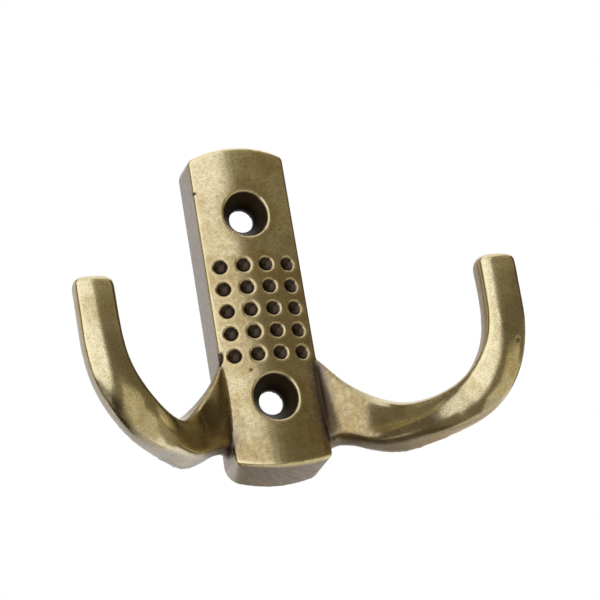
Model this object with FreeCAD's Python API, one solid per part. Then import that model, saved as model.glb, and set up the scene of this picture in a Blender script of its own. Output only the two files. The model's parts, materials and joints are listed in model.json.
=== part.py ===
import FreeCAD, Part
import math
import os

os.makedirs("parts", exist_ok=True)
Vec = FreeCAD.Vector

# Plate, in mm: the wall is the plane y = 0 and the front looks towards -Y
plate_width = 16.5
plate_length = 57.8
plate_depth = 8.3
end_arc_radius = 22.0
end_draft_deg = 7.0
back_corner = 3.0
front_corner = 0.8
crown_radius = 24.5
edge_round = 0.5

# Hollow of the back
pocket_depth = 3.8
pocket_rim = 2.0
pocket_corner = 1.4
pocket_round = 0.6
pocket_draft_deg = 4.0

# Screw holes
hole_spacing = 32.0
hole_diameter = 4.2
mouth_diameter = 8.2
throat_depth = 3.4

# Dimples of the front
dimple_pitch = 3.88
dimple_columns = 4
dimple_rows = 5
dimple_diameter = 2.6
dimple_depth = 0.8
dimple_drop = 0.8

# Section of the arms
inner_wall = 3.4
outer_wall = 2.75
root_run = 9.0
root_edge = 0.7
edge_growth = 0.085
root_bulge = 2.0
strap_bulge = 0.5
face_crown = 0.6
edge_break = 0.5
lip_round = 0.4
neck_round = 1.8
tip_corner = 1.5
tip_round = 0.9
arm_sections = 16

# Stations of the right arm, from inside the plate to the tip
# side, reach from the wall, height, face width, turn, lean, flare of the outer wall
arm_root = (7.0, 4.0, -17.0, 14.0, 88, 0, 0.3)
arm_spring = (8.6, 7.2, -17.0, 14.0, 88, 0, 0.5)
arm_neck = (11.1, 9.0, -19.1, 10.8, 88, -2, 0.9)
arm_web = (13.7, 10.7, -21.5, 9.0, 89, 0, 1.1)
arm_fold = (16.2, 13.4, -23.4, 7.3, 90, 6, 1.4)
arm_dip = (21.0, 20.2, -25.0, 6.0, 82, 12, 1.1)
arm_bend = (27.3, 27.1, -23.7, 7.1, 55, 2, 0.1)
arm_rise = (31.8, 29.5, -17.5, 7.0, 30, 1, 0.0)
arm_shank = (33.1, 30.1, -8.8, 6.5, 4, 0, 0.0)
arm_tip = (33.2, 30.0, -1.4, 6.5, 0, 0, 0.0)
stations = [arm_root, arm_spring, arm_neck, arm_web, arm_fold]
stations += [arm_dip, arm_bend, arm_rise, arm_shank, arm_tip]


# True for an edge that runs from back to front, or from front to back
def is_corner(edge, depth, back_first):
    first, last = edge.Vertexes[0].Point, edge.Vertexes[-1].Point
    if abs(first.x - last.x) > 0.01 or abs(first.y - last.y) < 0.9 * depth:
        return False
    return (first.y > last.y) == back_first


# Bar with arc-shaped drafted ends and rounded corners, its back on the wall
def make_bar(width, length, depth, end_radius, draft_deg, corner_radii):
    bar = Part.makeBox(width, depth, length, Vec(-width / 2, -depth, -length / 2))
    inset = depth * math.tan(math.radians(draft_deg))
    reach = length / 2 - end_radius
    for side in (1, -1):
        foot = reach if side > 0 else -length / 2
        end = Part.makeBox(width, depth, end_radius, Vec(-width / 2, -depth, foot))
        cone = Part.makeCone(end_radius, end_radius - inset, depth, Vec(0, 0, side * reach), Vec(0, -1, 0))
        bar = bar.cut(end.cut(cone))
    for back_first in (True, False):
        corners = [e for e in bar.Edges if is_corner(e, depth, back_first)]
        start, stop = corner_radii if back_first else corner_radii[::-1]
        if corners:
            bar = bar.makeFillet(start, stop, corners)
    return bar


# Crowned plate
def make_plate():
    radii = (back_corner, front_corner)
    bar = make_bar(plate_width, plate_length, plate_depth, end_arc_radius, end_draft_deg, radii)
    axis = Vec(0, crown_radius - plate_depth, -plate_length)
    bar = bar.common(Part.makeCylinder(crown_radius, 2 * plate_length, axis))
    front = min(bar.Faces, key=lambda f: f.CenterOfMass.y)
    return bar.makeFillet(edge_round, front.Edges)


# Smooth run of one size along the arm
def run_of(sizes, marks):
    run = Part.BSplineCurve()
    run.interpolate(Points=[Vec(mark, size, 0) for mark, size in zip(marks, sizes)], Parameters=marks)
    return run


# One section across the arm
def arm_section(centre, tangent, sizes, walked, share, narrow, thin):
    width, turn, lean, flare = sizes
    turn, lean = math.radians(turn), math.radians(lean)
    across = Vec(math.cos(turn) * math.cos(lean), math.sin(lean), -math.sin(turn) * math.cos(lean))
    normal = across.cross(tangent).normalize()
    turned = min(1.0, walked / root_run)
    normal = (normal * turned + Vec(0, -1, 0) * (1 - turned)).normalize()
    half = width / 2 - narrow
    inner = min(inner_wall, root_edge + edge_growth * walked) - 2 * thin
    outer = outer_wall - 2 * thin
    bulge = root_bulge + (strap_bulge - root_bulge) * share
    lip = neck_round + (lip_round - neck_round) * share
    broken = min(edge_break, 0.4 * inner)

    def at(u, v):
        return centre + across * u + normal * (v - thin)

    def crown(u):
        return face_crown * (1 - (u / half) ** 2)

    middle = (broken - lip) / 2
    face_in = at(broken - half, crown(half - broken))
    face_out = at(half - lip, crown(half - lip))
    lip_end = at(half, -0.6 * lip)
    back_out = at(half + flare, -outer)
    back_in = at(-half, -inner)
    wall_in = at(-half, -broken)
    lip_curve = Part.BezierCurve()
    lip_curve.setPoles([face_out, at(half - 0.25 * lip, 0), lip_end])
    edges = [
        Part.Arc(face_in, at(middle, crown(middle)), face_out).toShape(),
        lip_curve.toShape(),
        Part.makeLine(lip_end, back_out),
        Part.Arc(back_out, at(flare / 2, -(inner + outer) / 2 - bulge), back_in).toShape(),
        Part.makeLine(back_in, wall_in),
        Part.makeLine(wall_in, face_in),
    ]
    return Part.Wire(edges)


# The right arm, a strap that leaves the plate on edge and turns its face to the front
def make_arm():
    places = [Vec(s[0], -s[1], s[2]) for s in stations]
    marks = [0.0]
    for first, second in zip(places, places[1:]):
        marks.append(marks[-1] + first.distanceToPoint(second))
    spine = Part.BSplineCurve()
    spine.interpolate(Points=places, Parameters=marks)
    runs = [run_of([s[column] for s in stations], marks) for column in (3, 4, 5, 6)]
    settled = marks[stations.index(arm_bend)]
    end = marks[-1]

    def section(mark, rounded):
        sizes = [run.value(mark).y for run in runs]
        share = min(1.0, mark / settled)
        narrow, thin = tip_corner * rounded, tip_round * rounded
        return arm_section(spine.value(mark), spine.tangent(mark)[0], sizes, mark, share, narrow, thin)

    strap = [section((end - tip_corner) * i / (arm_sections - 1), 0) for i in range(arm_sections)]
    angles = [math.radians(80 * i / 4) for i in range(5)]
    dome = [section(end - tip_corner * (1 - math.sin(a)), 1 - math.cos(a)) for a in angles]
    return Part.makeLoft(strap, True, False).fuse(Part.makeLoft(dome, True, False))


# Hollow that lightens the back, with a rounded floor
def make_pocket():
    width = plate_width - 2 * pocket_rim
    length = plate_length - 2 * pocket_rim
    radius = end_arc_radius - pocket_rim
    corners = (pocket_corner, pocket_corner)
    pocket = make_bar(width, length, pocket_depth, radius, pocket_draft_deg, corners)
    floor = min(pocket.Faces, key=lambda f: f.CenterOfMass.y)
    return pocket.makeFillet(pocket_round, floor.Edges)


# Countersunk screw hole
def make_hole(z):
    grow = (mouth_diameter - hole_diameter) / 2 / throat_depth
    front = plate_depth + hole_diameter / 2
    wide = mouth_diameter / 2 + grow * (front - plate_depth)
    deep = throat_depth + front - plate_depth
    sink = Part.makeCone(wide, hole_diameter / 2, deep, Vec(0, -front, z), Vec(0, 1, 0))
    return sink.fuse(Part.makeCylinder(hole_diameter / 2, front, Vec(0, -front, z), Vec(0, 1, 0)))


# Round dimples pressed square to the crown
def make_dimples():
    ball = (dimple_diameter ** 2 / 4 + dimple_depth ** 2) / (2 * dimple_depth)
    centre_radius = crown_radius + ball - dimple_depth
    dimples = []
    for column in range(dimple_columns):
        x = (column - (dimple_columns - 1) / 2) * dimple_pitch
        tilt = math.asin(x / crown_radius)
        y = crown_radius - plate_depth - centre_radius * math.cos(tilt)
        for row in range(dimple_rows):
            z = (row - (dimple_rows - 1) / 2) * dimple_pitch - dimple_drop
            centre = Vec(centre_radius * math.sin(tilt), y, z)
            dimples.append(Part.makeSphere(ball, centre))
    return dimples


arm = make_arm()
body = make_plate().fuse([arm, arm.mirror(Vec(0, 0, 0), Vec(1, 0, 0))])
cutters = [make_pocket(), make_hole(hole_spacing / 2), make_hole(-hole_spacing / 2)]
body = body.cut(cutters + make_dimples())
casting = body.Solids[0]
casting.exportStep("parts/hook_casting.step")
print("hook_casting", casting.isValid(), len(body.Solids), round(casting.Volume, 1), casting.BoundBox)
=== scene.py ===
import json
import math

import bpy
import numpy as np
from mathutils import Matrix, Vector, noise


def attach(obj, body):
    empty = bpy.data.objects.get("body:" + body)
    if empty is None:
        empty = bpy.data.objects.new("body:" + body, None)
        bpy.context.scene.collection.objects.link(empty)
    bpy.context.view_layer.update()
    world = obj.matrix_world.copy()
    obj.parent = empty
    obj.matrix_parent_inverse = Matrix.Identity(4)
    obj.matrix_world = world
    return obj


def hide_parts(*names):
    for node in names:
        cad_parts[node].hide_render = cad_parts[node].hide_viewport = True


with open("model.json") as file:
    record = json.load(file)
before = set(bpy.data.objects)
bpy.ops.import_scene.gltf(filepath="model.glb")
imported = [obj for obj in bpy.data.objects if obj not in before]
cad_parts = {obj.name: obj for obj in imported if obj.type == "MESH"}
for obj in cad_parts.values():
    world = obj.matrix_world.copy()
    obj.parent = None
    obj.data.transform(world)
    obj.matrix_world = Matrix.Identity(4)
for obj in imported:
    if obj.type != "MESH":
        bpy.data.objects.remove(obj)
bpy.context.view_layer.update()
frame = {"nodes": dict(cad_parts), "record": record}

mm = 0.001  # metres in a millimetre
bpy.context.scene.view_settings.view_transform = "Standard"
print("frame loaded:", sorted(frame["nodes"]))


def hexToLinear(code):
    parts = [int(code[i:i + 2], 16) / 255 for i in (1, 3, 5)]
    return [c / 12.92 if c <= 0.04045 else ((c + 0.055) / 1.055) ** 2.4 for c in parts] + [1.0]


def addNode(tree, kind, inputs=None, **settings):
    node = tree.nodes.new(kind)
    for name, value in settings.items():
        setattr(node, name, value)
    for key, value in (inputs or {}).items():
        if isinstance(value, bpy.types.NodeSocket):
            tree.links.new(value, node.inputs[key])
        else:
            node.inputs[key].default_value = value
    return node


def newMaterial(name):
    material = bpy.data.materials.new(name)
    material.use_nodes = True
    material.node_tree.nodes.clear()
    return material


# the cast skin: the solid's own form, with the softened edges, marks of blackening and buffing, and masks of
# painted shade
# a pair without a note of its own is a span, over which something grows from nothing to all
castSkin = {
    "grain": 0.28 * mm,  # spacing of the skin's points
    "plateHalf": 8.2 * mm,
    "armSpan": (8.8 * mm, 11.0 * mm),  # distance from the middle at which the arms are clear of the plate
    "buffPasses": 1,  # how far buffing has softened the plate's edges
    "buffStep": 0.5,
    "armPasses": 10,  # and those of the arms
    "backPasses": 80,  # and of their backs
    "backBlur": 6,
    "armSteps": (0.6, -0.57),  # in and out by turns, so that nothing shrinks
    "fettlePasses": 8,  # the last rounding of the back edges
    "fettleStep": 0.5,
    # how squarely a face looks to the front: 1 is square on, 0 is side on
    "facingBlur": 2,
    "frontFaces": (0.3, 0.55),
    "backFaces": (0.8182, 0.3636),
    "outerSides": (0.3333, 0.0),
    "innerSides": (0.5, 0.0),
    "rootSides": (0.55, 0.05),
    "rubbedFaces": (0.24, 0.64),
    "ballFaces": -0.5,  # what looks further away than this belongs to the back
    "sunkFaces": -0.3,
    # the outer lips of the bends: the right one is rolled over by hand
    "lipLean": 0.2,
    "lipPasses": 50,
    "lipGain": 2,
    "lipDrop": 0.35 * mm,
    "lipBlur": 4,
    "normalBlur": 6,
    "bendHeights": (-13.0 * mm, -17.0 * mm),
    "bendStart": (17.0 * mm, 21.0 * mm),
    # the left one gets a dark band of painted shade along its lip instead
    "bandPasses": 110,
    "bandHeight": -22.0 * mm,  # it is widest here
    "bandReach": 3.6 * mm,
    "bandBelly": 0.43,
    "bandEdge": (0.535, 0.785),
    "bandTop": (-17.0 * mm, -18.5 * mm),
    "bandFoot": (-28.0 * mm, -26.5 * mm),
    "bandShare": 0.78,
    # dimples and holes
    "dimplePitch": 3.88 * mm,
    "dimpleCounts": (4, 5),  # columns and rows
    "dimpleDrop": 0.8 * mm,  # the field of dimples is a little below the middle
    "dimpleDepth": 0.8 * mm,
    "dimpleCore": 1.222 * mm,  # a dimple is a ball's part up to this radius, its rim is left soft
    "ballRadius": 1.456 * mm,
    "ballReach": 1.05,
    "crownRadius": 24.5 * mm,  # the plate's front is part of a cylinder
    "crownReach": 8.3 * mm,  # its distance from the wall
    "crownHalf": 10.0 * mm,
    "sunkField": (7.4 * mm, 21.0 * mm),  # half width and half height of the field of dimples and holes
    "sunkSpan": (0.044 * mm, 0.264 * mm),  # depth below the crown at which a dimple turns dark
    "fieldDepth": 1.2 * mm,
    "boreRadius": 4.15 * mm,
    "boreDepth": 4.6 * mm,
    "throatSpan": (1.6 * mm, 3.4 * mm),  # depths between which a hole is painted black as shade
    # the dark line along an inside corner, between these distances from the middle
    "leftCrease": (8.2 * mm, 11.0 * mm),
    "rightCrease": (7.45 * mm, 8.45 * mm),
    "creasePasses": 20,
    "creaseDepth": 0.09 * mm,
    "creaseBlur": 3,
    "creaseGain": 1.6,
    "creaseCore": 0.3,
    # the stain that stays around everything that a buff can't reach, and the painted shade on the roots'
    # upper walls
    "haloPasses": 90,
    "haloGain": 2.5,
    "flankPasses": 40,  # it is thicker beside inside corners
    "flankGain": 5,
    "plateFlank": 0.8,  # the plate's side of the corner is buffed a little more
    "footHeights": (-12.0 * mm, -24.0 * mm),  # the plate is browner towards its lower end
    "footHaze": 0.28,
    "rootReach": 8.0 * mm,  # the roots of the arms keep a haze of it too
    "rootHaze": 1.1,
    "wallReach": 16.0 * mm,  # and their walls for longer: stain on the sides, painted shade where they look up
    "wallGain": 1.6,
    "rootUpward": (0.0, 0.5),  # how far a wall looks up, for the painted shade on the roots' upper walls
    "rootDark": 0.85,
    "leftUpward": (0.5, 0.8333),
    "leftReach": (0.0, 0.5),
    "leftRootDark": 0.7,  # the left root's faces that look up are painted dark as shade too
    "inward": (0.2, 0.7),
    "innerShare": 0.7,  # the arms' inner walls keep a good deal
    "downward": (-0.75, -0.95),  # the plate's lower end is filed
    # front edges that are rubbed bright
    "edgeBlur": 4,
    "edgeHeight": 0.05 * mm,
    "edgeShare": 0.55,  # how bright the outer edges are
    "rimShare": 0.3,  # and the rims of dimples and holes
    "edgeRoot": (0.0, 0.5),
    "edgeFlank": 6,
    # marks
    "wave": 0.006 * mm,  # height of the unevenness that casting and buffing leave
    "waveLength": 3.0 * mm,
    "nickDark": 1.6,
    "nickBare": 3,
    "nicks": [  # place in mm, radius and depth in mm
        ((-8.0, -6.9, -8.0), 0.55, 0.3),
        ((-8.05, -6.85, -8.6), 0.6, 0.3),
        ((-8.1, -6.75, -9.2), 0.5, 0.25),
        ((-8.2, -6.6, -9.9), 0.45, 0.15),
        ((-3.5, -8.05, -11.2), 0.35, 0.1),
        ((34.1, -30.2, -16.3), 0.3, 0.08),
        ((34.5, -29.8, -19.4), 0.25, 0.06),
        ((-8.0, -6.95, 20.4), 0.4, 0.08),
    ],
}


def ramp(values, start, stop):
    return np.clip((values - start) / (stop - start), 0, 1)


def neighbourMean(values, net):
    if values.ndim > 1:
        return np.stack([neighbourMean(column, net) for column in values.T], 1)
    first, second, counts = net
    total = np.bincount(first, values[second], len(counts))
    return (total + np.bincount(second, values[first], len(counts))) / counts


def spread(values, net, passes):
    for _ in range(passes):
        values = neighbourMean(values, net)
    return values


def readPoints(items, name, width, kind):
    values = np.empty(len(items) * width, kind)
    items.foreach_get(name, values)
    return values.reshape(-1, width)


def writePlaces(mesh, places):
    mesh.vertices.foreach_set("co", places.ravel())
    mesh.update()


def writeMask(mesh, name, values):
    layer = mesh.attributes.new(name, "FLOAT", "POINT")
    layer.data.foreach_set("value", np.clip(values, 0, 1).astype(np.float32))


def coverWithSkin(node, name):
    skin = bpy.data.objects.new(name, node.data.copy())
    bpy.context.scene.collection.objects.link(skin)
    remesh = skin.modifiers.new("cast skin", "REMESH")
    remesh.mode = "VOXEL"
    remesh.voxel_size = castSkin["grain"]
    remesh.use_smooth_shade = True
    settle = skin.modifiers.new("settle on the solid", "SHRINKWRAP")
    settle.target = node
    settle.wrap_method = "NEAREST_SURFACEPOINT"
    buff = skin.modifiers.new("buffed edges", "SMOOTH")
    buff.factor = castSkin["buffStep"]
    buff.iterations = castSkin["buffPasses"]
    bpy.context.view_layer.update()
    ready = skin.evaluated_get(bpy.context.evaluated_depsgraph_get())
    mesh = bpy.data.meshes.new_from_object(ready)
    skin.modifiers.clear()
    skin.data = mesh
    mesh.materials.clear()
    return skin


def softenArms(places, facing, onArm, net):
    behind = spread(ramp(facing, *castSkin["backFaces"]), net, castSkin["backBlur"]) * onArm
    for turn in range(castSkin["backPasses"]):
        share = onArm if turn < castSkin["armPasses"] else behind
        for step in castSkin["armSteps"]:
            places += (neighbourMean(places, net) - places) * share[:, None] * step
    for _ in range(castSkin["fettlePasses"]):
        places += (neighbourMean(places, net) - places) * behind[:, None] * castSkin["fettleStep"]


def dimpleCentres():
    columns, rows = castSkin["dimpleCounts"]
    reach = castSkin["crownRadius"] + castSkin["ballRadius"] - castSkin["dimpleDepth"]
    for column in range(columns):
        side = (column - (columns - 1) / 2) * castSkin["dimplePitch"]
        tilt = math.asin(side / castSkin["crownRadius"])
        front = castSkin["crownRadius"] - castSkin["crownReach"] - reach * math.cos(tilt)
        for row in range(rows):
            height = (row - (rows - 1) / 2) * castSkin["dimplePitch"] - castSkin["dimpleDrop"]
            yield np.array((reach * math.sin(tilt), front, height))


# every dimple is a clean part of a ball
def shapeDimples(places, facing):
    for centre in dimpleCentres():
        away = places - centre
        apart = np.linalg.norm(away, axis=1)
        inside = apart < castSkin["ballRadius"] * castSkin["ballReach"]
        inside &= (away[:, 1] > 0) & (facing > castSkin["ballFaces"])
        inside &= np.hypot(away[:, 0], away[:, 2]) < castSkin["dimpleCore"]
        places[inside] = centre + away[inside] / apart[inside, None] * castSkin["ballRadius"]


def makeSkin(node, name, holeCentres):
    skin = coverWithSkin(node, name)
    mesh = skin.data
    places = readPoints(mesh.vertices, "co", 3, np.float64)
    normals = readPoints(mesh.vertices, "normal", 3, np.float64)
    edges = readPoints(mesh.edges, "vertices", 2, np.int64)
    net = (edges[:, 0], edges[:, 1], np.bincount(edges.ravel(), minlength=len(places)).astype(float))
    onArm = ramp(abs(places[:, 0]), *castSkin["armSpan"])
    softenArms(places, spread(-normals[:, 1], net, castSkin["facingBlur"]), onArm, net)
    writePlaces(mesh, places)

    normals = readPoints(mesh.vertices, "normal", 3, np.float64)
    facing = spread(-normals[:, 1], net, castSkin["facingBlur"])
    upward = normals[:, 2]
    x, y, z = places.T
    outward = np.sign(x) * normals[:, 0]
    inFront = ramp(facing, *castSkin["frontFaces"])
    outer = ramp(facing, *castSkin["outerSides"]) * (outward - upward > castSkin["lipLean"]) * onArm
    lip = np.clip(spread(outer, net, castSkin["lipPasses"]) * castSkin["lipGain"], 0, 1)
    lip *= ramp(z, *castSkin["bendHeights"]) * inFront * ramp(abs(x), *castSkin["bendStart"])
    rolled = spread(lip, net, castSkin["lipBlur"]) * np.where(x > 0, castSkin["lipDrop"], 0)
    places -= spread(normals, net, castSkin["normalBlur"]) * rolled[:, None]

    # painted shade: a dark band along the left bend's outer lip
    bell = np.exp(-((z - castSkin["bandHeight"]) / castSkin["bandReach"]) ** 2)
    near = spread(outer, net, castSkin["bandPasses"]) * castSkin["lipGain"]
    lipShade = ramp(near + castSkin["bandBelly"] * bell, *castSkin["bandEdge"]) * (x < 0) * inFront
    lipShade *= ramp(z, *castSkin["bandTop"]) * ramp(z, *castSkin["bandFoot"])

    shapeDimples(places, facing)

    # dimples and holes: whatever lies below the crown of the front
    middle = np.clip(x, -castSkin["crownHalf"], castSkin["crownHalf"])
    crown = castSkin["crownRadius"] - np.sqrt(castSkin["crownRadius"] ** 2 - middle ** 2)
    depth = y + castSkin["crownReach"] - crown
    inBore = np.zeros(len(places), bool)
    for centre in holeCentres:
        inBore |= np.hypot(x - centre[0], z - centre[2]) < castSkin["boreRadius"]
    halfWidth, halfHeight = castSkin["sunkField"]
    inField = (abs(x) < halfWidth) & (abs(z) < halfHeight) & (facing > castSkin["sunkFaces"])
    inField &= depth < np.where(inBore, castSkin["boreDepth"], castSkin["fieldDepth"])
    sunk = ramp(depth, *castSkin["sunkSpan"]) * inField

    # inside corners
    dip = ((spread(places, net, castSkin["creasePasses"]) - places) * normals).sum(1)
    spans = zip(castSkin["leftCrease"], castSkin["rightCrease"])
    start, stop = [np.where(x > 0, right, left) for left, right in spans]
    byPlate = ramp(abs(x), start, start + castSkin["grain"])
    byPlate *= ramp(abs(x), stop, stop - castSkin["grain"])
    crease = ramp(np.where(inField, 0, dip), 0, castSkin["creaseDepth"]) * byPlate
    crease = spread(crease, net, castSkin["creaseBlur"]) * castSkin["creaseGain"]
    hollow = np.clip(np.maximum(sunk, crease), 0, 1)
    bore = np.maximum(sunk * inBore, crease - castSkin["creaseCore"])
    # deep in the holes the colour is painted black as shade
    throatShade = ramp(depth, *castSkin["throatSpan"]) * (inField & (bore > 0))

    # the haze of stain around the hollows, at the roots and on the lower end
    onPlate = abs(x) < castSkin["plateHalf"]
    beyond = abs(x) - castSkin["plateHalf"]
    root = ramp(beyond, castSkin["rootReach"], 0) * (beyond > 0)
    wall = ramp(beyond, castSkin["wallReach"], 0) * (beyond > 0)
    foot = ramp(z, *castSkin["footHeights"]) * onPlate
    halo = spread(hollow, net, castSkin["haloPasses"])
    halo = np.maximum(halo, root * castSkin["rootHaze"])
    halo = np.maximum(halo, foot * castSkin["footHaze"])

    # flanks of the corners, and the walls of the roots; where these look up they are painted dark as shade
    flank = spread(np.clip(crease, 0, 1), net, castSkin["flankPasses"])
    flank *= np.where(onPlate, castSkin["plateFlank"], 1)
    rootWall = wall * castSkin["wallGain"] * ramp(facing, *castSkin["rootSides"])
    upperShade = np.clip(rootWall, 0, 1) * ramp(upward, *castSkin["rootUpward"])
    hollow = np.maximum(hollow, upperShade * castSkin["rootDark"])
    leftUpperShade = ramp(upward, *castSkin["leftUpward"]) * ramp(wall, *castSkin["leftReach"]) * (x < 0)
    hollow = np.maximum(hollow, leftUpperShade * castSkin["leftRootDark"])
    innerWall = ramp(-outward, *castSkin["inward"]) * ramp(facing, *castSkin["innerSides"]) * onArm
    walls = np.maximum(rootWall, innerWall * castSkin["innerShare"])

    # front edges that the buff has rubbed bright
    high = ((places - spread(places, net, castSkin["edgeBlur"])) * normals).sum(1)
    rubbed = high / castSkin["edgeHeight"] * ramp(facing, *castSkin["rubbedFaces"])
    rubbed *= np.where(inField, castSkin["rimShare"], castSkin["edgeShare"])
    rubbed *= 1 - ramp(root, *castSkin["edgeRoot"])
    rubbed *= (1 - np.clip(flank * castSkin["edgeFlank"], 0, 1)) * (1 - lipShade)

    for centre, radius, sink in castSkin["nicks"]:
        apart = np.linalg.norm(places - np.array(centre) * mm, axis=1) / (radius * mm)
        dent = np.clip(1 - apart ** 2, 0, 1)
        places = places - normals * (dent * sink * mm)[:, None]
        hollow = np.maximum(hollow, dent * castSkin["nickDark"])
        rubbed = rubbed * (1 - np.clip(dent * castSkin["nickBare"], 0, 1))
    waves = [noise.noise(Vector(place) / castSkin["waveLength"]) for place in places]
    places = places + normals * (np.array(waves) * castSkin["wave"])[:, None]
    writePlaces(mesh, places)

    masks = {
        "hollow": hollow,
        "bore": bore,
        "throatShade": throatShade,
        "under": ramp(upward, *castSkin["downward"]) * onPlate,
        "halo": halo * castSkin["haloGain"],
        "lipShade": lipShade * castSkin["bandShare"],
        "flank": np.maximum(flank * castSkin["flankGain"], walls),
        "arm": onArm,
        "rightArm": onArm * (x > 0),
        "rubbed": rubbed,
        "facing": 0.5 + 0.5 * facing,
    }
    for maskName, values in masks.items():
        writeMask(mesh, maskName, values)
    return skin, list(masks)


# antique brass: zinc casting plated in brass, blackened, buffed back on the front and lacquered
# pale gold where the buff has reached, clouded olive brown where it hasn't, near black in the hollows;
# painted shade darkens the depths of the holes, the left bend's lip and the roots' upper walls
antiqueBrass = {
    "colours": {
        "buffed": "#E2D5B0",
        "warm": "#BCA778",
        "stain": "#857A72",
        "spot": "#86775A",
        # painted shade along the left bend's lip
        "lipShade": "#4A412E",
        "wall": "#BFB4A8",
        "rightWall": "#B9A57D",
        "under": "#8A7A65",
        "underDark": "#655848",
        "patina": "#423830",
        "bore": "#453827",
        # painted shade deep in the holes
        "throatShade": "#120D08",
        "edge": "#F0E2B8",
    },
    "buffedRoughness": 0.14,
    "plateRoughness": 0.21,  # the plate is buffed less than the arms
    "plateWarm": 0.14,
    "stainRoughness": 0.34,
    "wallRoughness": 0.42,
    "patinaRoughness": 0.33,
    "boreRoughness": 0.6,
    "patterns": {  # size and detail
        "cloud": (5.0 * mm, 5),  # broad change of tone from the buffing
        "fleck": (0.8 * mm, 6),  # blotches of black left in the skin
        "speckle": (0.28 * mm, 3),  # pores
        "grit": (0.19 * mm, 2),  # fine cast grain, a little coarser than the real one so that it shows
    },
    "patternRoughness": 0.62,
    "cloudSpan": (0.46, 0.72),
    "hazeShare": 0.7,  # how much of the warm tone lies around the hollows and roots
    "buffSpan": (0.57, 0.7),  # from side on to where the buff has done all
    "brush": (0.25 * mm, 5.0 * mm, 1.0 * mm),  # filing lines across the lower end
    "brushTurn": -40,
    "brushDetail": 3,
    "brushSpan": (0.35, 0.65),
    "blotchSpan": (0.5, 0.75),
    "fleckShare": 0.5,
    "haloThick": 0.16,  # how much thicker the blotches are beside the hollows
    "poreSpan": (0.52, 0.78),
    "poreShare": 0.8,
    "flankUneven": 1.6,
    "gritSpan": (0.32, 0.68),
    "gritDepth": 0.3,  # how much darker the grain's pits are
    "grainStrength": 0.28,
    "grainHeight": 0.02 * mm,
    "lacquer": 0.05,
    "lacquerRoughness": 0.16,
}


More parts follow.
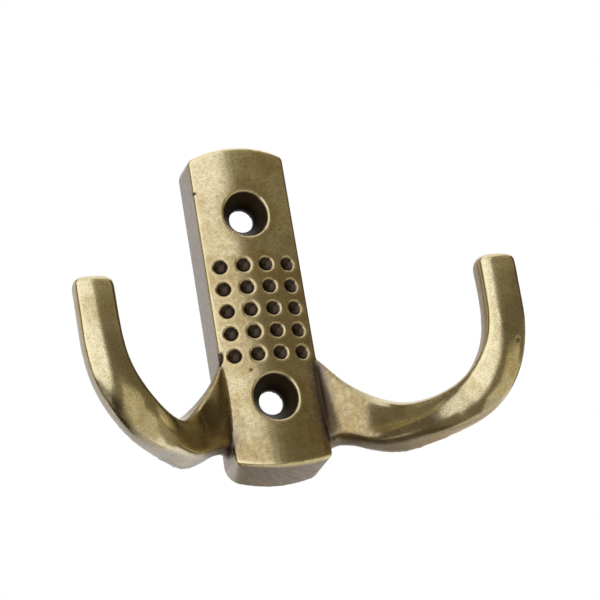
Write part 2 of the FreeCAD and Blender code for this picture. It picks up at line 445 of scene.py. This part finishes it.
def makeBrass(maskNames):
    spec = antiqueBrass
    tint = {name: hexToLinear(code) for name, code in spec["colours"].items()}
    material = newMaterial("antique_brass_plated_buffed")
    tree = material.node_tree

    def blend(factor, first, second, kind="RGBA", mode="MIX"):
        inputs = {"Factor": factor, "A": first, "B": second}
        return addNode(tree, "ShaderNodeMix", inputs, data_type=kind, blend_type=mode).outputs["Result"]

    def combine(operation, *values, clamp=False):
        inputs = dict(enumerate(values))
        return addNode(tree, "ShaderNodeMath", inputs, operation=operation, use_clamp=clamp).outputs["Value"]

    def stretch(value, span, low=0.0, high=1.0):
        inputs = {"Value": value, "From Min": span[0], "From Max": span[1], "To Min": low, "To Max": high}
        return addNode(tree, "ShaderNodeMapRange", inputs).outputs["Result"]

    place = addNode(tree, "ShaderNodeTexCoord").outputs["Object"]
    masks = {}
    for name in maskNames:
        masks[name] = addNode(tree, "ShaderNodeAttribute", attribute_name=name).outputs["Fac"]
    patterns = {}
    for name, (size, detail) in spec["patterns"].items():
        pattern = addNode(tree, "ShaderNodeTexNoise", {
            "Vector": place,
            "Scale": 1 / size,
            "Detail": detail,
            "Roughness": spec["patternRoughness"],
        })
        patterns[name] = pattern.outputs["Fac"]

    # pale gold, warmer in clouds, on the plate and around the hollows
    plateTone = stretch(masks["arm"], (0, 1), spec["plateWarm"], 0.0)
    tone = combine("ADD", stretch(patterns["cloud"], spec["cloudSpan"]), plateTone)
    haze = combine("MULTIPLY_ADD", masks["halo"], spec["hazeShare"], tone, clamp=True)
    front = blend(haze, tint["buffed"], tint["warm"])

    # walls that the buff hasn't reached, and the filed lower end
    slant = addNode(tree, "ShaderNodeMapping", {
        "Vector": place,
        "Rotation": (0, 0, math.radians(spec["brushTurn"])),
        "Scale": spec["brush"],
    }, vector_type="TEXTURE")
    lines = addNode(tree, "ShaderNodeTexNoise", {
        "Vector": slant.outputs["Vector"],
        "Scale": 1.0,
        "Detail": spec["brushDetail"],
    })
    ends = blend(stretch(lines.outputs["Fac"], spec["brushSpan"]), tint["under"], tint["underDark"])
    sides = blend(masks["rightArm"], tint["wall"], tint["rightWall"])
    walls = blend(masks["under"], sides, ends)
    buffed = stretch(masks["facing"], spec["buffSpan"])
    plain = blend(buffed, walls, front)
    sand = stretch(patterns["grit"], spec["gritSpan"], 1 + spec["gritDepth"] / 2, 1 - spec["gritDepth"])
    faces = blend(1.0, plain, sand, mode="MULTIPLY")

    # blotches grow thicker towards the hollows, and the flanks of inside corners keep most of the black
    thick = combine("MULTIPLY_ADD", masks["halo"], spec["haloThick"], patterns["fleck"])
    blotch = stretch(thick, spec["blotchSpan"], high=spec["fleckShare"])
    pores = stretch(patterns["speckle"], spec["poreSpan"], high=spec["poreShare"])
    spots = combine("MAXIMUM", blotch, pores)
    uneven = combine("MULTIPLY", patterns["fleck"], spec["flankUneven"])
    flank = combine("MULTIPLY", masks["flank"], uneven, clamp=True)
    spotted = blend(spots, faces, tint["spot"])
    stained = blend(flank, spotted, tint["stain"])
    # the left bend's lip is painted dark as shade
    lipShaded = blend(masks["lipShade"], stained, tint["lipShade"])
    # the holes' depths take the painted shade
    bores = blend(masks["throatShade"], tint["bore"], tint["throatShade"])
    # patina in the hollows, together with the painted shade on the roots' upper walls and in the holes
    depths = blend(masks["bore"], tint["patina"], bores)
    agedAndShaded = blend(masks["hollow"], lipShaded, depths)
    worn = blend(masks["rubbed"], agedAndShaded, tint["edge"])

    # a soft shine on the arms, duller on the plate and wherever the black is left
    shine = blend(masks["arm"], spec["plateRoughness"], spec["buffedRoughness"], "FLOAT")
    polish = blend(buffed, spec["wallRoughness"], shine, "FLOAT")
    dirt = combine("MAXIMUM", spots, flank, clamp=True)
    dull = blend(dirt, polish, spec["stainRoughness"], "FLOAT")
    deep = blend(masks["bore"], spec["patinaRoughness"], spec["boreRoughness"], "FLOAT")
    gloss = blend(masks["hollow"], dull, deep, "FLOAT")

    grain = addNode(tree, "ShaderNodeBump", {
        "Height": patterns["grit"],
        "Strength": spec["grainStrength"],
        "Distance": spec["grainHeight"],
    })
    shader = addNode(tree, "ShaderNodeBsdfPrincipled", {
        "Base Color": worn,
        "Metallic": 1.0,
        "Roughness": gloss,
        "Coat Weight": spec["lacquer"],
        "Coat Roughness": spec["lacquerRoughness"],
        "Normal": grain.outputs["Normal"],
    })
    addNode(tree, "ShaderNodeOutputMaterial", {"Surface": shader.outputs["BSDF"]})
    return material


# the two screw holes stand above and below the mount's point
holeMount = next(m for m in frame["record"]["mounts"] if m["name"] == "screw_holes")
holeRise = holeMount["dims"]["spacing_y_mm"] * mm / 2
holeCentres = [Vector(holeMount["pos_m"]) + Vector((0, 0, side * holeRise)) for side in (1, -1)]

skin, skinMasks = makeSkin(frame["nodes"]["hook_casting"], "hook_casting_skin", holeCentres)
skin.data.materials.append(makeBrass(skinMasks))
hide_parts("hook_casting")
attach(skin, "root")
print("casting skinned:", sum(len(face.vertices) - 2 for face in skin.data.polygons), "triangles")


# studio: white surroundings, one soft box, and dark cards that give the metal its dark side
studio = {
    "floorDrop": 2.4,
    "floorSide": 6.0,
    "floorColour": "#E4E1DB",
    "floorRoughness": 0.8,
    "roomLevel": 1.0,
    "roomFill": 0.7,
    "cardSteps": 12,
    # tone and distance, then azimuth and elevation of the corners: low left, low right, top left, top right
    "cards": {
        "strip_card": ("#756C56", 0.88, (0, -9), (19, -9), (10, 2), (20, 2)),
        "frame_card": ("#756C56", 0.88, (-8, -19), (14, -19), (0, -9), (19, -9)),
        "foot_card": ("#756C56", 0.88, (-37, -37), (-13, -37), (-8, -19), (14, -19)),
        "side_card": ("#544B39", 0.9, (62, 9), (118, 9), (62, 42), (118, 42)),
        "far_right_card": ("#4A4232", 0.9, (116, -11), (140, -11), (116, 34), (140, 34)),
        "corner_card": ("#766D58", 0.92, (54, -9), (86, -9), (54, 9), (86, 9)),
        "fold_card": ("#A39B82", 0.92, (86, -20), (118, -20), (86, 9), (118, 9)),
        "right_low_card": ("#6D644F", 1.0, (11, 0), (118, 0), (7, 17), (118, 17)),
        "right_card": ("#968D75", 1.0, (7, 17), (118, 17), (6, 33), (118, 33)),
        "top_card": ("#AFA78D", 1.0, (10, 33), (84, 33), (10, 50), (84, 50)),
        "horizon_card": ("#CDC5AB", 1.1, (-13, -37), (92, -37), (16, 3), (92, 3)),
        "low_card": ("#786F58", 1.1, (-62, -66), (-20, -66), (-62, -36), (-14, -36)),
        "left_card": ("#7A735F", 1.0, (-98, -3), (-68, -3), (-98, 33), (-62, 33)),
        "left_top_card": ("#6A634F", 1.0, (-136, 33), (-80, 33), (-136, 75), (-84, 75)),
        "left_low_card": ("#605947", 1.0, (-98, -32), (-80, -32), (-98, -3), (-80, -3)),
        "far_left_card": ("#C4BCA6", 1.0, (-132, -20), (-98, -20), (-132, 45), (-98, 45)),
        "low_left_card": ("#585040", 1.0, (-160, -66), (-90, -66), (-160, -32), (-90, -32)),
        "low_bend_card": ("#786E57", 1.0, (-90, -66), (-62, -66), (-90, -32), (-66, -32)),
    },
    "softBox": {"azimuth": -25, "elevation": 7, "distance": 0.95, "size": (1.2, 1.3), "radiance": 0.27},
}


def directionOf(azimuth, elevation):
    a, e = math.radians(azimuth), math.radians(elevation)
    return Vector((math.sin(a) * math.cos(e), -math.cos(a) * math.cos(e), math.sin(e)))


def paintedFloor():
    material = newMaterial("pale_floor")
    shader = addNode(material.node_tree, "ShaderNodeBsdfPrincipled", {
        "Base Color": hexToLinear(studio["floorColour"]),
        "Roughness": studio["floorRoughness"],
    })
    addNode(material.node_tree, "ShaderNodeOutputMaterial", {"Surface": shader.outputs["BSDF"]})
    return material


def litCard(name, colour):
    material = newMaterial(name)
    shader = addNode(material.node_tree, "ShaderNodeEmission", {
        "Color": hexToLinear(colour),
        "Strength": 1.0,
    })
    addNode(material.node_tree, "ShaderNodeOutputMaterial", {"Surface": shader.outputs["Emission"]})
    return material


def addSheet(name, points, faces, material):
    mesh = bpy.data.meshes.new(name)
    mesh.from_pydata(points, [], faces)
    mesh.materials.append(material)
    sheet = bpy.data.objects.new(name, mesh)
    bpy.context.scene.collection.objects.link(sheet)
    return sheet


half = studio["floorSide"] / 2
floorCorners = ((-half, -half), (half, -half), (half, half), (-half, half))
floorPoints = [(x, y, -studio["floorDrop"]) for x, y in floorCorners]
addSheet("floor", floorPoints, [(0, 1, 2, 3)], paintedFloor())

# each card is bent round the object
steps = studio["cardSteps"]
for cardName, (tone, distance, *corners) in studio["cards"].items():
    lowLeft, lowRight, topLeft, topRight = [Vector(corner) for corner in corners]
    points = []
    for row in range(steps + 1):
        left = lowLeft.lerp(topLeft, row / steps)
        right = lowRight.lerp(topRight, row / steps)
        for column in range(steps + 1):
            points.append(directionOf(*left.lerp(right, column / steps)) * distance)
    faces = []
    for row in range(steps):
        for column in range(steps):
            corner = row * (steps + 1) + column
            faces.append((corner, corner + 1, corner + steps + 2, corner + steps + 1))
    card = addSheet(cardName, points, faces, litCard(cardName, tone))
    card.visible_camera = False
    card.visible_diffuse = False
    card.visible_shadow = False

softBox = studio["softBox"]
towardsBox = directionOf(softBox["azimuth"], softBox["elevation"])
lamp = bpy.data.lights.new("soft_box", "AREA")
lamp.shape = "RECTANGLE"
lamp.size, lamp.size_y = softBox["size"]
lamp.energy = softBox["radiance"] * math.pi * lamp.size * lamp.size_y
lampHolder = bpy.data.objects.new("soft_box", lamp)
lampHolder.location = towardsBox * softBox["distance"]
lampHolder.rotation_euler = towardsBox.to_track_quat("Z", "Y").to_euler()
bpy.context.scene.collection.objects.link(lampHolder)

# white for the camera and for reflections, a softer fill for everything else
room = bpy.data.worlds.new("white_room")
bpy.context.scene.world = room
room.use_nodes = True
roomTree = room.node_tree
roomTree.nodes.clear()
path = addNode(roomTree, "ShaderNodeLightPath")
seen = path.outputs["Is Camera Ray"]
for ray in ("Is Glossy Ray", "Is Transmission Ray"):
    either = addNode(roomTree, "ShaderNodeMath", {0: seen, 1: path.outputs[ray]}, operation="MAXIMUM")
    seen = either.outputs["Value"]
level = addNode(roomTree, "ShaderNodeMapRange", {
    "Value": seen,
    "To Min": studio["roomFill"],
    "To Max": studio["roomLevel"],
})
glow = addNode(roomTree, "ShaderNodeBackground", {
    "Color": (1, 1, 1, 1),
    "Strength": level.outputs["Result"],
})
addNode(roomTree, "ShaderNodeOutputWorld", {"Surface": glow.outputs["Background"]})
print("studio set")


# the photograph's view: from below and to the left of the front
view = {
    "azimuth": -19.2,
    "elevation": -18.57,
    "roll": 9.75,
    "distance": 450 * mm,
    "target": (6.66 * mm, -8.3 * mm, 0.19 * mm),
    "pixelsPerMm": 6.073,
    "frameWidth": 600,
    "sensor": 36.0,
    "clipStart": 10 * mm,
}


def makeCamera():
    lens = bpy.data.cameras.new("photo_camera")
    lens.sensor_width = view["sensor"]
    lens.lens = view["sensor"] * view["pixelsPerMm"] * view["distance"] / mm / view["frameWidth"]
    lens.clip_start = view["clipStart"]
    camera = bpy.data.objects.new("photo_camera", lens)
    bpy.context.scene.collection.objects.link(camera)
    azimuth, roll = math.radians(view["azimuth"]), math.radians(view["roll"])
    back = directionOf(view["azimuth"], view["elevation"])
    level = Vector((math.cos(azimuth), math.sin(azimuth), 0))
    upright = back.cross(level)
    right = level * math.cos(roll) - upright * math.sin(roll)
    up = level * math.sin(roll) + upright * math.cos(roll)
    place = Vector(view["target"]) + back * view["distance"]
    turn = Matrix((right, up, back)).transposed()
    camera.matrix_world = Matrix.Translation(place) @ turn.to_4x4()
    bpy.context.scene.camera = camera


makeCamera()
print("camera set")
